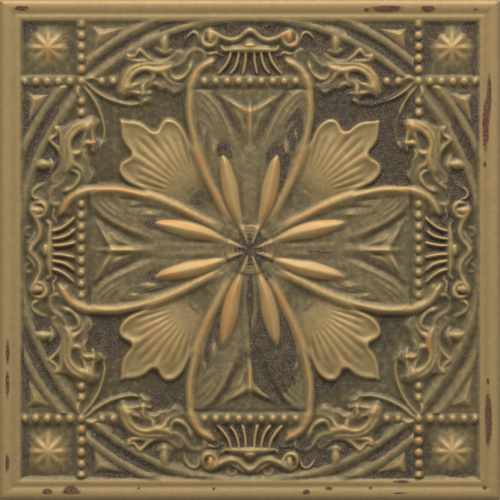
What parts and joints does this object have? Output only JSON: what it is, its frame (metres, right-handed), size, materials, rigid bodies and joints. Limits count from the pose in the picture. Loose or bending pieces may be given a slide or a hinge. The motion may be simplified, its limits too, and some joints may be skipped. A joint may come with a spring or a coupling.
{
  "type": "wall tile",
  "caption": "Square glazed relief wall tile with moulded rim, beaded bands, fan petals and leaf scrolls, to be bedded on a wall or laid flat.",
  "frame": {"origin": "centre of the tile's footprint, in the plane of the back face", "axes": "+Z out of the ornamented face, away from the wall; +Y towards the edge at the top of the picture; +X towards the edge at the right of the picture"},
  "size_m": [0.2, 0.2, 0.0099],
  "materials": {
    "glaze": "satin metallic antique gold glaze with dark purplish brown patina in the recesses"
  },
  "bodies": {
    "root": {"tile": "glaze"}
  },
  "joints": []
}
